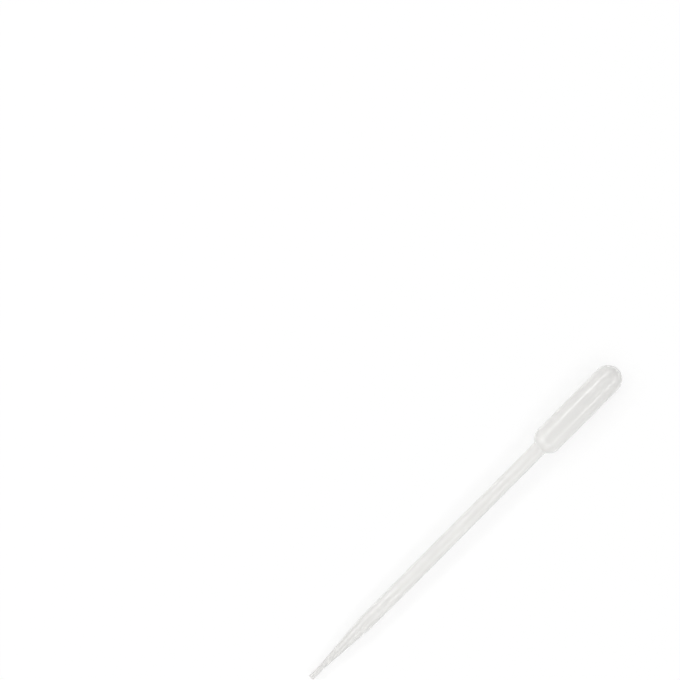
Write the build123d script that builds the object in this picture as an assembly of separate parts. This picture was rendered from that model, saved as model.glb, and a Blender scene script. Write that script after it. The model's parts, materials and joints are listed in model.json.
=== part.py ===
from build123d import *

import os
from math import asin, atan2, degrees, sqrt

# A dropper pipette: one hollow, blow-moulded piece of soft clear-white polythene.
# The tip's cut end is open, and the stem leads up to the squeeze bulb, a straight barrel
# between two round ends: the shoulder, which grows out of the neck, and the closed dome.
# It is drawn along +X from the tip's mouth, and then laid on its side as it comes to rest.
# The floor is Z = 0, the bulb points to +X, and the origin is under the middle of its box.


# Driving dimensions, in millimetres.

# The outside. A corner is where two runs of the outline would meet if it weren't rounded.
overall_length = 300.0      # from the mouth to the top of the weld on the dome
tip_length = 12.5           # the straight spout, from the mouth to the taper's corner
taper_length = 42.9         # from there to the knee, where the taper meets the stem
bulb_length = 76.1          # from the neck's corner to the top
tip_diameter = 4.0
knee_diameter = 10.9        # the stem is widest at the knee
neck_diameter = 10.4
bulb_diameter = 20.0

# How the outside's corners are rounded.
tip_blend_radius = 25.0
knee_radius = 160.0
neck_radius = 1.5

# The wall of each run. It is thick where the tube is squeezed down to the tip and pinched
# shut at the crown, and thin where it is blown out to the bulb.
tip_wall = 0.8
taper_wall = 0.75
stem_wall = 0.7
shoulder_wall = 0.7         # at the shoulder's pole, so a little less beside the neck
bulb_wall = 0.5
crown_wall = 1.2

# The trimmed weld over the crown, where the mould's two halves pinched the tube shut.
weld_length = 7.0
weld_width = 0.8
weld_height = 0.2


# What follows from them.
tip_radius = tip_diameter / 2
bulb_radius = bulb_diameter / 2
hollow_radius = bulb_radius - bulb_wall
knee_x = tip_length + taper_length
neck_x = overall_length - bulb_length
dome_top_x = overall_length - weld_height
shoulder_center_x = neck_x + sqrt(bulb_radius**2 - (neck_diameter / 2) ** 2)
shoulder_pole_x = shoulder_center_x - bulb_radius
off_axis = 0.001            # what lies nearer to the axis than this lies on it


def tube_corners():
    """The corners of the tube's outside, from the mouth to the neck."""
    return [
        Vector(0, tip_radius),
        Vector(tip_length, tip_radius),
        Vector(knee_x, knee_diameter / 2),
        Vector(neck_x, neck_diameter / 2),
    ]


def inner_face(start, end, wall):
    """The line that lies one wall inside the outer run from start to end."""
    run = end - start
    outward = run.rotate(Axis.Z, 90).normalized()
    return Axis(start - outward * wall, run)


def tube_hollow_corners():
    """The corners of the tube's hollow, from the mouth to where it has opened into the bulb's."""
    corners = tube_corners()
    walls = [tip_wall, taper_wall, stem_wall]
    faces = [inner_face(*run) for run in zip(corners, corners[1:], walls)]
    meetings = [face.intersect(following) for face, following in zip(faces, faces[1:])]
    stem = faces[-1]
    mouth = Vector(0, tip_radius - tip_wall)
    opened = stem.position + stem.direction * (shoulder_center_x - knee_x)
    return [mouth, *meetings, opened]


def tube_section(corners):
    """Half of the tube's section, between its side and the axis."""
    end = corners[-1].X
    return make_face(Polyline(*corners, (end, 0), (0, 0), close=True))


def bulb_section(radius, shoulder_pole, dome_pole):
    """Half of the bulb's section: a barrel between two round ends of its own radius."""
    shoulder = CenterArc((shoulder_pole + radius, 0), radius, 180, -90)
    dome = CenterArc((dome_pole - radius, 0), radius, 90, -90)
    barrel = Line(shoulder @ 1, dome @ 0)
    spine = Line(dome @ 1, shoulder @ 0)
    return make_face([shoulder, barrel, dome, spine])


def rounded(section, radii):
    """The section with its side's first corners after the mouth rounded, one after the other."""
    for place, radius in enumerate(radii):
        side = section.vertices().filter_by(lambda vertex: vertex.Y > off_axis).sort_by(Axis.X)
        corner = side[1 + 2 * place]  # each round before it has put two corners in place of one
        section = fillet(corner, radius)
    return section


def outside():
    """Half of the section of the outside."""
    tube = tube_section(tube_corners())
    bulb = bulb_section(bulb_radius, shoulder_pole_x, dome_top_x)
    return rounded(tube + bulb, [tip_blend_radius, knee_radius, neck_radius])


def hollow():
    """Half of the section of the hollow. Each round lies one wall inside the outer one."""
    tube = tube_section(tube_hollow_corners())
    bulb = bulb_section(hollow_radius, shoulder_pole_x + shoulder_wall, dome_top_x - crown_wall)
    radii = [tip_blend_radius + tip_wall, knee_radius - stem_wall, neck_radius + stem_wall]
    return rounded(tube + bulb, radii)


def crown_weld():
    """A low bead over the crown, in the plane where the mould parts, trimmed to the dome's curve."""
    bead_radius = bulb_radius + weld_height
    slab = Box(bead_radius, weld_length, weld_width, align=(Align.MIN, Align.CENTER, Align.CENTER))
    return Pos(dome_top_x - bulb_radius, 0, 0) * (Sphere(bead_radius) & slab)


def resting_line():
    """The line under the two rings that the part lies on: its slope, and how far below the axis."""
    rounds = outside().edges().filter_by(GeomType.CIRCLE).sort_by(Axis.X)
    knee, shoulder = rounds[1], rounds[3]
    across = shoulder.arc_center - knee.arc_center
    steepness = asin((knee.radius - shoulder.radius) / across.length)
    slope = degrees(atan2(across.Y, across.X) - steepness)
    square_to_line = Vector(0, 1).rotate(Axis.Z, slope)
    return slope, square_to_line.dot(knee.arc_center) + knee.radius


def pipette():
    """The whole piece, lying on its knee and its shoulder."""
    body = revolve(outside(), Axis.X) + crown_weld() - revolve(hollow(), Axis.X)
    slope, depth = resting_line()
    laid = Pos(0, 0, depth) * Rot(0, -slope, 0) * body
    return Pos(-laid.bounding_box().center().X, 0, 0) * laid


os.makedirs("parts", exist_ok=True)
export_step(pipette(), "parts/pipette.step")
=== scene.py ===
import json
import math

import bpy
from mathutils import Matrix, Vector, noise


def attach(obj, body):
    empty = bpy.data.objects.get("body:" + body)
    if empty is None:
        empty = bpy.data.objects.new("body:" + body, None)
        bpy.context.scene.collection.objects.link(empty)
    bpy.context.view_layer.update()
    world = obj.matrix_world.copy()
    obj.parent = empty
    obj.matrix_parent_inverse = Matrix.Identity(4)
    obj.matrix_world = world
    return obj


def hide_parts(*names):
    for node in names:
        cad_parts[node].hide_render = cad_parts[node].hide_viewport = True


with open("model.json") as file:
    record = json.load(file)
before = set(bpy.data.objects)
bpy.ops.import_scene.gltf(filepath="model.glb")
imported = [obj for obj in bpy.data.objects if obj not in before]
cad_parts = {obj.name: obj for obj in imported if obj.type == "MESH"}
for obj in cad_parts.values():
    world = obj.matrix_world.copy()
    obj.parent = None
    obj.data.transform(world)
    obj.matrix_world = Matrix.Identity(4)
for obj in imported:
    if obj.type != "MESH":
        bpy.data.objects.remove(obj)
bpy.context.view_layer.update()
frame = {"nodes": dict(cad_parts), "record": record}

# A dropper pipette of milky, translucent polythene, blown in one piece, lying on a white floor.
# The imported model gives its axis, its length, and the radii of its tip, bore and bulb.
# The wall is turned about that axis here as a finer mesh, which also carries what the mould
# and the die leave: the parting lines, the weld over the crown, slow ripples and fine ridges.

mounts = {mount["name"]: mount for mount in frame["record"]["mounts"]}
MM = 0.001

# The pipette's own frame: along its axis, across it, and square to both.
ALONG = Vector(mounts["bulb_barrel"]["axis"]).normalized()
ACROSS = Vector((0, 1, 0))
OUT = ALONG.cross(ACROSS)
ON_AXIS = Vector(mounts["bulb_barrel"]["pos_m"])


def reach_of_cad():
    """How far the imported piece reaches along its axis, each way from the bulb's middle."""
    places = [(v.co - ON_AXIS).dot(ALONG) for v in frame["nodes"]["pipette"].data.vertices]
    return min(places), max(places)


mouth_at, top_at = reach_of_cad()
MOUTH = ON_AXIS + ALONG * mouth_at
LENGTH = top_at - mouth_at

# Sizes across, in metres.
TIP_R = mounts["tip_spigot"]["dims"]["r_mm"] * MM
BORE_R = mounts["tip_bore"]["dims"]["r_mm"] * MM
BULB_R = mounts["bulb_barrel"]["dims"]["r_mm"] * MM
KNEE_R = 5.45 * MM
NECK_R = 5.2 * MM

# Sizes along.
TIP_LENGTH = 12.5 * MM
TAPER_LENGTH = 42.9 * MM
BULB_LENGTH = 76.1 * MM

# Rounds of the outline.
TIP_BLEND = 25 * MM
KNEE_ROUND = 160 * MM
NECK_ROUND = 1.5 * MM
RIM_ROUND = 0.1 * MM
ARC_STEP = math.radians(5)
ARC_STEPS_LEAST = 6

# Walls.
TIP_WALL = TIP_R - BORE_R
TAPER_WALL = 0.75 * MM
STEM_WALL = 0.7 * MM
SHOULDER_WALL = 0.7 * MM
BULB_WALL = 0.5 * MM
CROWN_WALL = 1.2 * MM

# What the mould leaves.
WELD_LENGTH = 7 * MM
WELD_WIDTH = 0.8 * MM
WELD_HEIGHT = 0.2 * MM
WELD_EDGE = 0.12 * MM
PARTING_HEIGHT = 0.05 * MM
PARTING_WIDTH = 0.14 * MM

# Waves of the wall's two faces: their heights, and their lengths along the tube.
OUTER_RIPPLE = 0.015 * MM
INNER_RIPPLE = 0.05 * MM
RIPPLE_LENGTH = 28 * MM
RIPPLES_ROUND = 1.1
OUTER_RIDGE = 0.0025 * MM
INNER_RIDGE = 0.02 * MM
RIDGE_LENGTH = 110 * MM
RIDGES_ROUND = 7

# The mesh: points along each face, points over the crown, and columns round the axis.
OUTER_SPACING = 1.6 * MM
INNER_SPACING = 2.4 * MM
OUTER_DOME_STEPS = 40
INNER_DOME_STEPS = 26
CROWN_CROWDING = 1.6
COLUMNS_ROUND = 144
BESIDE_PARTING = (0.35, 0.7, 1.1, 1.6)

NECK_AT = LENGTH - BULB_LENGTH
SHOULDER_TOP = NECK_AT + math.sqrt(BULB_R**2 - NECK_R**2) - BULB_R
DOME_TOP = LENGTH - WELD_HEIGHT
DOME_CENTER = DOME_TOP - BULB_R


# ---- the outline -------------------------------------------------------------------------


def corners_outside():
    """Where the tube's straight runs meet on the outside, as (along, radius)."""
    return [
        Vector((0, TIP_R)),
        Vector((TIP_LENGTH, TIP_R)),
        Vector((TIP_LENGTH + TAPER_LENGTH, KNEE_R)),
        Vector((NECK_AT, NECK_R)),
    ]


def square_to(run):
    """The direction square to a run of the outline, away from the axis."""
    return Vector((-run.y, run.x)).normalized()


def meeting(before, corner, after, wall_before, wall_after):
    """Where the inner faces of two runs meet, each a wall inside its outer face."""
    first, second = square_to(corner - before), square_to(after - corner)
    turn = first.x * second.y - first.y * second.x
    shift_along = wall_after * first.y - wall_before * second.y
    shift_out = wall_before * second.x - wall_after * first.x
    return corner + Vector((shift_along, shift_out)) / turn


def corners_inside(outside):
    """Where the inner faces of the same runs meet."""
    mouth, tip_end, knee, neck = outside
    return [
        Vector((0, BORE_R)),
        meeting(mouth, tip_end, knee, TIP_WALL, TAPER_WALL),
        meeting(tip_end, knee, neck, TAPER_WALL, STEM_WALL),
        neck - square_to(neck - knee) * STEM_WALL,
    ]


def arc(center, radius, start, end):
    """The points of an arc from one angle to another, both included."""
    steps = max(math.ceil(abs(end - start) / ARC_STEP), ARC_STEPS_LEAST)
    angles = [start + (end - start) * k / steps for k in range(steps + 1)]
    return [center + Vector((math.cos(a), math.sin(a))) * radius for a in angles]


def rounded(corners, radii):
    """The points of a line of straight runs whose inner corners are arcs, without its last corner."""
    points = [corners[0]]
    for before, corner, after, radius in zip(corners, corners[1:], corners[2:], radii):
        run = corner - before
        bend = run.angle_signed(after - corner) * -1
        side = math.copysign(1, bend)
        start = corner - run.normalized() * radius * math.tan(abs(bend) / 2)
        center = start + square_to(run) * radius * side
        heading = math.atan2(run.y, run.x) - side * math.pi / 2
        points += arc(center, radius, heading, heading + bend)
    return points


def shoulder(knee, neck, fillet, pole, radius):
    """The fillet out of the neck, and then the shoulder's round end up to the barrel."""
    run = (neck - knee).normalized()
    out = square_to(run)
    center = Vector((pole + radius, 0))
    line = neck + out * fillet
    to_center = center - line
    back = math.sqrt((radius + fillet) ** 2 - to_center.dot(out) ** 2)
    middle = line + run * (to_center.dot(run) - back)
    toward = math.atan2(center.y - middle.y, center.x - middle.x)
    foot = math.atan2(-out.y, -out.x)
    return arc(middle, fillet, foot, toward) + arc(center, radius, toward + math.pi, math.pi / 2)[1:]


def dome(top, radius, steps):
    """The closed end, down to beside the axis, with its points closer together near the crown."""
    angles = [math.pi / 2 * (1 - k / steps) ** CROWN_CROWDING for k in range(steps)]
    return [Vector((top - radius + radius * math.cos(a), radius * math.sin(a))) for a in angles]


def filled(points, spacing):
    """The same line with more points, none further than spacing from the next."""
    line = [points[0]]
    for a, b in zip(points, points[1:]):
        steps = max(math.ceil((b - a).length / spacing), 1)
        line += [a.lerp(b, k / steps) for k in range(1, steps + 1)]
    return line


def outer_line(corners):
    """The outside's line, from beside the mouth to beside the crown."""
    line = rounded(corners, [TIP_BLEND, KNEE_ROUND])
    line += shoulder(*corners[2:], NECK_ROUND, SHOULDER_TOP, BULB_R)
    return filled(line + dome(DOME_TOP, BULB_R, OUTER_DOME_STEPS), OUTER_SPACING)[1:]


def inner_line(corners):
    """The hollow's line. Each of its rounds keeps the wall that the outer one has there."""
    line = rounded(corners, [TIP_BLEND + TIP_WALL, KNEE_ROUND - STEM_WALL])
    radius = BULB_R - BULB_WALL
    line += shoulder(*corners[2:], NECK_ROUND + STEM_WALL, SHOULDER_TOP + SHOULDER_WALL, radius)
    line += dome(DOME_TOP - CROWN_WALL, radius, INNER_DOME_STEPS)
    return filled(line, INNER_SPACING)[1:]


def rim(outer, inner):
    """The mouth's cut end, with its two edges just broken."""
    far = Vector((4 * RIM_ROUND, 0))
    return rounded([inner + far, inner, outer, outer + far], [RIM_ROUND, RIM_ROUND])[1:]


# ---- the wall's mesh ---------------------------------------------------------------------


def columns():
    """The angles round the axis, closer together at the two parting lines."""
    even = [math.tau * k / COLUMNS_ROUND for k in range(COLUMNS_ROUND)]
    steps = [sign * step for sign in (-1, 1) for step in BESIDE_PARTING]
    near = [math.radians(side + step) for side in (0, 180) for step in steps]
    return sorted(angle % math.tau for angle in even + near)


def ripple(along, angle, seed, amount):
    """The wall's slow waves, from the blowing, in metres. The seed picks the pattern."""
    across, out = RIPPLES_ROUND * math.cos(angle), RIPPLES_ROUND * math.sin(angle)
    return amount * noise.noise(Vector((along / RIPPLE_LENGTH, across, out + seed)))


def ridges(along, angle, seed, amount):
    """Fine ridges along the tube, drawn out by the die, in metres. The seed picks the pattern."""
    across, out = RIDGES_ROUND * math.cos(angle), RIDGES_ROUND * math.sin(angle)
    return amount * noise.noise(Vector((along / RIDGE_LENGTH, across, out + seed)))


def rises(across, half, edge):
    """1 inside half of the middle, falling to 0 over the edge beyond it."""
    t = min(max((half + edge - abs(across)) / edge, 0), 1)
    return t * t * (3 - 2 * t)


def outer_point(along, radius, angle):
    """A point of the outside, with its parting line, weld, ripples and ridges."""
    y, z = radius * math.cos(angle), radius * math.sin(angle)
    lift = ripple(along, angle, 3.1, OUTER_RIPPLE) * min(radius / BULB_R, 1)
    lift += ridges(along, angle, 8.7, OUTER_RIDGE)
    lift += PARTING_HEIGHT * math.exp(-(z / PARTING_WIDTH) ** 2)
    normal_along = max(along - DOME_CENTER, 0) / BULB_R
    if along > DOME_CENTER:
        # The waves fade out round the crown's middle, where the columns meet.
        lift *= min(radius / (0.3 * BULB_R), 1)
        weld = rises(z, WELD_WIDTH / 2 - WELD_EDGE, WELD_EDGE)
        weld *= rises(y, WELD_LENGTH / 2 - WELD_EDGE, 3 * WELD_EDGE)
        lift = max(lift, weld * WELD_HEIGHT)
    normal_out = math.sqrt(max(1 - normal_along**2, 0))
    radius += lift * normal_out
    along += lift * normal_along
    return place(along, radius, angle)


def inner_point(along, radius, angle):
    """A point of the hollow, whose face no mould has touched."""
    lift = ripple(along, angle, 21.7, INNER_RIPPLE) + ridges(along, angle, 33.3, INNER_RIDGE)
    return place(along, radius + lift * min(radius / BULB_R, 1), angle)


def place(along, radius, angle):
    """From the pipette's own frame to the scene."""
    around = ACROSS * math.cos(angle) + OUT * math.sin(angle)
    return MOUTH + ALONG * along + around * radius


def pipette_mesh():
    """The wall as one closed mesh: hollow, rim and outside, with a point on the axis at each end."""
    outside = corners_outside()
    inside = corners_inside(outside)
    hollow = inner_line(inside)
    angles = columns()
    rings = [[inner_point(p.x, p.y, a) for a in angles] for p in reversed(hollow)]
    rings += [[place(p.x, p.y, a) for a in angles] for p in rim(outside[0], inside[0])]
    rings += [[outer_point(p.x, p.y, a) for a in angles] for p in outer_line(outside)]
    points = [point for ring in rings for point in ring]
    points += [place(DOME_TOP - CROWN_WALL, 0, 0), outer_point(DOME_TOP, 0, 0)]
    mesh = bpy.data.meshes.new("pipette_wall")
    mesh.from_pydata([tuple(p) for p in points], [], ring_faces(len(rings), len(angles)))
    mesh.validate()
    mesh.shade_smooth()
    return mesh


def ring_faces(rings, around):
    """The faces between the rings, and from the first and last ring to their points on the axis."""
    faces = []
    for k in range(rings - 1):
        for j in range(around):
            here, there = k * around + j, k * around + (j + 1) % around
            faces.append((here, there, there + around, here + around))
    last = (rings - 1) * around
    hub_inside = rings * around
    for j in range(around):
        following = (j + 1) % around
        faces.append((hub_inside, following, j))
        faces.append((last + j, last + following, hub_inside + 1))
    return faces


# ---- materials ---------------------------------------------------------------------------

CLOUDY = (0.988, 0.983, 0.966)
CLEARER = (0.997, 0.992, 0.976)
# Painted shade: the darker colour laid on the spout and the crown, where the thick walls look darker,
# and how much of it the crown gets.
PAINTED_SHADE = (0.9, 0.894, 0.88)
PAINTED_SHADE_AT_CROWN = 0.3
SMOOTHEST = 0.29
ROUGHEST = 0.35

# How fine each pattern is along and across the tube, per metre, and its relief.
STREAKS = (9, 1100, 1100)
CLOUDS = (45, 160, 160)
GRAIN = (4500, 5200, 5200)
STREAK_HEIGHT = 0.012 * MM
GRAIN_HEIGHT = 0.004 * MM
RELIEF_STRENGTH = 0.15


def new_material(name):
    """A new material, its node tree and its shader."""
    material = bpy.data.materials.new(name)
    material.use_nodes = True
    tree = material.node_tree
    return material, tree, tree.nodes["Principled BSDF"]


def node(tree, kind, **values):
    """A new node with its named inputs or properties set."""
    made = tree.nodes.new(kind)
    for name, value in values.items():
        label = name.replace("_", " ")
        if label in made.inputs:
            made.inputs[label].default_value = value
        else:
            setattr(made, name, value)
    return made


def own_coordinates(tree):
    """Coordinates with x along the pipette's axis, in metres."""
    source = node(tree, "ShaderNodeTexCoord")
    turned = node(tree, "ShaderNodeMapping", vector_type="TEXTURE")
    turned.inputs["Location"].default_value = MOUTH
    turned.inputs["Rotation"].default_value = (0, -math.asin(ALONG.z), 0)
    tree.links.new(source.outputs["Object"], turned.inputs["Vector"])
    return turned.outputs["Vector"]


def stretched_noise(tree, vector, scale, detail):
    """Noise with its own scale along the axis and across it, per metre."""
    mapped = node(tree, "ShaderNodeMapping")
    mapped.inputs["Scale"].default_value = scale
    tree.links.new(vector, mapped.inputs["Vector"])
    made = node(tree, "ShaderNodeTexNoise", Scale=1.0, Detail=detail, Roughness=0.5)
    tree.links.new(mapped.outputs["Vector"], made.inputs["Vector"])
    return made.outputs["Fac"]


def ranged(tree, value, low, high, start=0.3, end=0.7):
    """The value from start to end, mapped to low to high."""
    made = node(tree, "ShaderNodeMapRange")
    tree.links.new(value, made.inputs["Value"])
    for name, number in zip(("From Min", "From Max", "To Min", "To Max"), (start, end, low, high)):
        made.inputs[name].default_value = number
    return made.outputs["Result"]


def bump(tree, pattern, height, under=None):
    """The normal of a relief, its height in metres, over another normal if one is given."""
    made = node(tree, "ShaderNodeBump", Distance=height, Strength=RELIEF_STRENGTH)
    tree.links.new(pattern, made.inputs["Height"])
    if under:
        tree.links.new(under, made.inputs["Normal"])
    return made.outputs["Normal"]


def mixed_colour(tree, factor, first, second):
    """The first colour, or a link to it, mixed with the second by the factor."""
    made = node(tree, "ShaderNodeMix", data_type="RGBA")
    if isinstance(first, tuple):
        made.inputs[6].default_value = (*first, 1)
    else:
        tree.links.new(first, made.inputs[6])
    made.inputs[7].default_value = (*second, 1)
    tree.links.new(factor, made.inputs["Factor"])
    return made.outputs[2]


def painted_shade_at_ends(tree, own):
    """Painted shade: 1 along the spout, rising along the bulb to a little at the crown, and 0 between
    them, where the thick walls look darker.
    """
    parts = node(tree, "ShaderNodeSeparateXYZ")
    tree.links.new(own, parts.inputs["Vector"])
    past_knee = 1.25 * (TIP_LENGTH + TAPER_LENGTH)
    spout = ranged(tree, parts.outputs["X"], 1, 0, TIP_LENGTH, past_knee)
    crown = ranged(tree, parts.outputs["X"], 0, PAINTED_SHADE_AT_CROWN, NECK_AT, DOME_CENTER)
    ends = node(tree, "ShaderNodeMath", operation="MAXIMUM")
    tree.links.new(spout, ends.inputs[0])
    tree.links.new(crown, ends.inputs[1])
    return ends.outputs[0]


def milky_polythene():
    """Natural low-density polythene: cloudy, satin, with fine streaks along the tube, and painted shade
    at the spout and crown.
    """
    material, tree, shader = new_material("milky_polythene")
    own = own_coordinates(tree)
    streaks = stretched_noise(tree, own, STREAKS, detail=2)
    clouds = stretched_noise(tree, own, CLOUDS, detail=2)
    grain = stretched_noise(tree, own, GRAIN, detail=1)
    colour = mixed_colour(tree, ranged(tree, clouds, 0, 1), CLOUDY, CLEARER)
    # Painted shade: the base colour darkens along the spout and along the bulb toward the crown.
    colour = mixed_colour(tree, painted_shade_at_ends(tree, own), colour, PAINTED_SHADE)
    tree.links.new(colour, shader.inputs["Base Color"])
    tree.links.new(ranged(tree, streaks, SMOOTHEST, ROUGHEST), shader.inputs["Roughness"])
    fine = bump(tree, grain, GRAIN_HEIGHT)
    tree.links.new(bump(tree, streaks, STREAK_HEIGHT, fine), shader.inputs["Normal"])
    shader.inputs["Transmission Weight"].default_value = 0.5
    shader.inputs["IOR"].default_value = 1.4
    shader.inputs["Coat Weight"].default_value = 1.0
    shader.inputs["Coat IOR"].default_value = 1.7
    shader.inputs["Coat Roughness"].default_value = 0.1
    return material


def add_pipette():
    """The visible pipette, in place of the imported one."""
    mesh = pipette_mesh()
    piece = bpy.data.objects.new("pipette_wall", mesh)
    bpy.context.scene.collection.objects.link(piece)
    mesh.materials.append(milky_polythene())
    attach(piece, "root")
    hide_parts("pipette")


# ---- the studio --------------------------------------------------------------------------

# The share of the floor's brightness that is plain white whatever shadow falls on it: near the
# pipette, whose shadow shows there, and from the shadow's end on.
WHITE_SHARE_NEAR = 0.67
WHITE_SHARE_FAR = 0.97
SHADOW_FROM = 12 * MM
SHADOW_TO = 30 * MM
FLOOR_HALF = 12.0

# The sky's brightness on what isn't seen against it.
SKY_AT_HORIZON = 0.38
SKY_OVERHEAD = 0.835

# The lamps. Angles are in degrees from straight up, and sizes in metres.
LAMP_LENGTH = 3.2
LAMPS_ALONG = -0.2
STRIP_DISTANCE = 0.9
STRIP_LEFT = {"degrees": 47, "width": 0.11, "radiance": 3.4}
STRIP_RIGHT = {"degrees": -42, "width": 0.16, "radiance": 1.7}
FILL_DISTANCE = 1.2
FILL_LEFT = {"degrees": 78, "width": 1.0, "radiance": 0.6}
FILL_RIGHT = {"degrees": -78, "width": 1.0, "radiance": 0.6}
FRONT_DISTANCE = 0.95
FRONT_LENGTH = 1.3
FRONT_WIDTH = 0.12
FRONT_RADIANCE = 1.9

# The view: the frame's width and the pipette's place in it, as shares of the pipette's length
# and of the frame's width.
FRAME_WIDTH = 1.5602 * LENGTH
VIEW_TURN = math.radians(45.25)
AIM_LEFT = 0.1827 * FRAME_WIDTH
AIM_UP = 0.2702 * FRAME_WIDTH


def sees_background(tree):
    """1 for what the camera sees directly, in a reflection or through the plastic."""
    path = node(tree, "ShaderNodeLightPath")
    both = node(tree, "ShaderNodeMath", operation="MAXIMUM")
    tree.links.new(path.outputs["Is Camera Ray"], both.inputs[0])
    tree.links.new(path.outputs["Is Glossy Ray"], both.inputs[1])
    all_three = node(tree, "ShaderNodeMath", operation="MAXIMUM")
    tree.links.new(both.outputs[0], all_three.inputs[0])
    tree.links.new(path.outputs["Is Transmission Ray"], all_three.inputs[1])
    return all_three.outputs[0]


def off_the_line(tree):
    """How far a point of the floor is from the line that the pipette lies along, in metres."""
    source = node(tree, "ShaderNodeTexCoord")
    parts = node(tree, "ShaderNodeSeparateXYZ")
    tree.links.new(source.outputs["Object"], parts.inputs["Vector"])
    along = node(tree, "ShaderNodeMath", operation="ABSOLUTE")
    tree.links.new(parts.outputs["X"], along.inputs[0])
    past_end = ranged(tree, along.outputs[0], 0, 1, LENGTH / 2, LENGTH / 2 + 1)
    both = node(tree, "ShaderNodeCombineXYZ")
    tree.links.new(past_end, both.inputs["X"])
    tree.links.new(parts.outputs["Y"], both.inputs["Y"])
    reach = node(tree, "ShaderNodeVectorMath", operation="LENGTH")
    tree.links.new(both.outputs["Vector"], reach.inputs[0])
    return reach.outputs["Value"]


def add_floor():
    """A white floor that shows the pipette's soft shadow near it and is all but plain white far off."""
    half = FLOOR_HALF
    mesh = bpy.data.meshes.new("floor")
    corners = [(-half, -half, 0), (half, -half, 0), (half, half, 0), (-half, half, 0)]
    mesh.from_pydata(corners, [], [(0, 1, 2, 3)])
    floor = bpy.data.objects.new("floor", mesh)
    bpy.context.scene.collection.objects.link(floor)
    material, tree, shader = new_material("white_floor")
    shader.inputs["Base Color"].default_value = (0.98, 0.98, 0.98, 1)
    shader.inputs["Roughness"].default_value = 0.9
    shader.inputs["Specular IOR Level"].default_value = 0
    white = node(tree, "ShaderNodeEmission", Strength=1.0)
    away = off_the_line(tree)
    whiteness = ranged(tree, away, WHITE_SHARE_NEAR, WHITE_SHARE_FAR, SHADOW_FROM, SHADOW_TO)
    share = node(tree, "ShaderNodeMath", operation="MULTIPLY")
    tree.links.new(sees_background(tree), share.inputs[0])
    tree.links.new(whiteness, share.inputs[1])
    mix = node(tree, "ShaderNodeMixShader")
    tree.links.new(share.outputs[0], mix.inputs[0])
    tree.links.new(shader.outputs[0], mix.inputs[1])
    tree.links.new(white.outputs[0], mix.inputs[2])
    tree.links.new(mix.outputs[0], tree.nodes["Material Output"].inputs["Surface"])
    mesh.materials.append(material)


def add_world():
    """A white room: white to look at, and for the rest a soft sky, brighter overhead."""
    world = bpy.data.worlds.new("room")
    bpy.context.scene.world = world
    world.use_nodes = True
    tree = world.node_tree
    background = tree.nodes["Background"]
    background.inputs["Color"].default_value = (1, 1, 1, 1)
    direction = node(tree, "ShaderNodeTexCoord")
    parts = node(tree, "ShaderNodeSeparateXYZ")
    tree.links.new(direction.outputs["Generated"], parts.inputs["Vector"])
    sky = ranged(tree, parts.outputs["Z"], SKY_AT_HORIZON, SKY_OVERHEAD, 0, 1)
    strength = node(tree, "ShaderNodeMapRange")
    tree.links.new(sees_background(tree), strength.inputs["Value"])
    tree.links.new(sky, strength.inputs["To Min"])
    strength.inputs["To Max"].default_value = 1.0
    tree.links.new(strength.outputs["Result"], background.inputs["Strength"])


def add_softbox(name, place_at, back, side, length, width, radiance):
    """A softbox that shines against back, with its length along side, unseen by the camera."""
    light = bpy.data.lights.new(name, "AREA")
    light.shape = "RECTANGLE"
    light.size, light.size_y = length, width
    light.energy = radiance * math.pi * length * width
    lamp = bpy.data.objects.new(name, light)
    bpy.context.scene.collection.objects.link(lamp)
    turn = Matrix((side, back.cross(side), back)).transposed().to_4x4()
    lamp.matrix_world = Matrix.Translation(place_at) @ turn
    lamp.visible_camera = False
    return lamp


def add_long_box(name, distance, degrees, width, radiance):
    """A long softbox beside the pipette, parallel to it, so many degrees from straight up."""
    angle = math.radians(degrees)
    back = Vector((0, math.sin(angle), math.cos(angle)))
    place_at = back * distance + Vector((LAMPS_ALONG, 0, 0))
    return add_softbox(name, place_at, back, Vector((1, 0, 0)), LAMP_LENGTH, width, radiance)


def add_lights():
    """Strips, which draw the lines of light on the plastic, and fills, which show in no reflection."""
    add_long_box("strip_left", STRIP_DISTANCE, **STRIP_LEFT)
    add_long_box("strip_right", STRIP_DISTANCE, **STRIP_RIGHT)
    for name, fill in (("fill_left", FILL_LEFT), ("fill_right", FILL_RIGHT)):
        lamp = add_long_box(name, FILL_DISTANCE, **fill)
        lamp.visible_glossy = False
    back = Vector((-1, 0, 1)).normalized()
    across = Vector((0, 1, 0))
    place_at = back * FRONT_DISTANCE
    add_softbox("strip_front", place_at, back, across, FRONT_LENGTH, FRONT_WIDTH, FRONT_RADIANCE)


def add_camera():
    """Straight above, with a long lens, turned so that the pipette lies at 45 degrees."""
    data = bpy.data.cameras.new("camera")
    data.lens = 150
    data.sensor_width = 36
    data.clip_end = 50
    camera = bpy.data.objects.new("camera", data)
    bpy.context.scene.collection.objects.link(camera)
    right = Vector((math.cos(VIEW_TURN), -math.sin(VIEW_TURN), 0))
    up = Vector((math.sin(VIEW_TURN), math.cos(VIEW_TURN), 0))
    middle = MOUTH + ALONG * (LENGTH / 2)
    aim = middle - right * AIM_LEFT + up * AIM_UP
    distance = FRAME_WIDTH * data.lens / data.sensor_width
    place_at = Vector((aim.x, aim.y, middle.z + distance))
    turned = Matrix((right, up, Vector((0, 0, 1)))).transposed().to_4x4()
    camera.matrix_world = Matrix.Translation(place_at) @ turned
    bpy.context.scene.camera = camera


add_camera()
add_pipette()
add_floor()
add_world()
add_lights()
bpy.context.scene.view_settings.view_transform = "Standard"
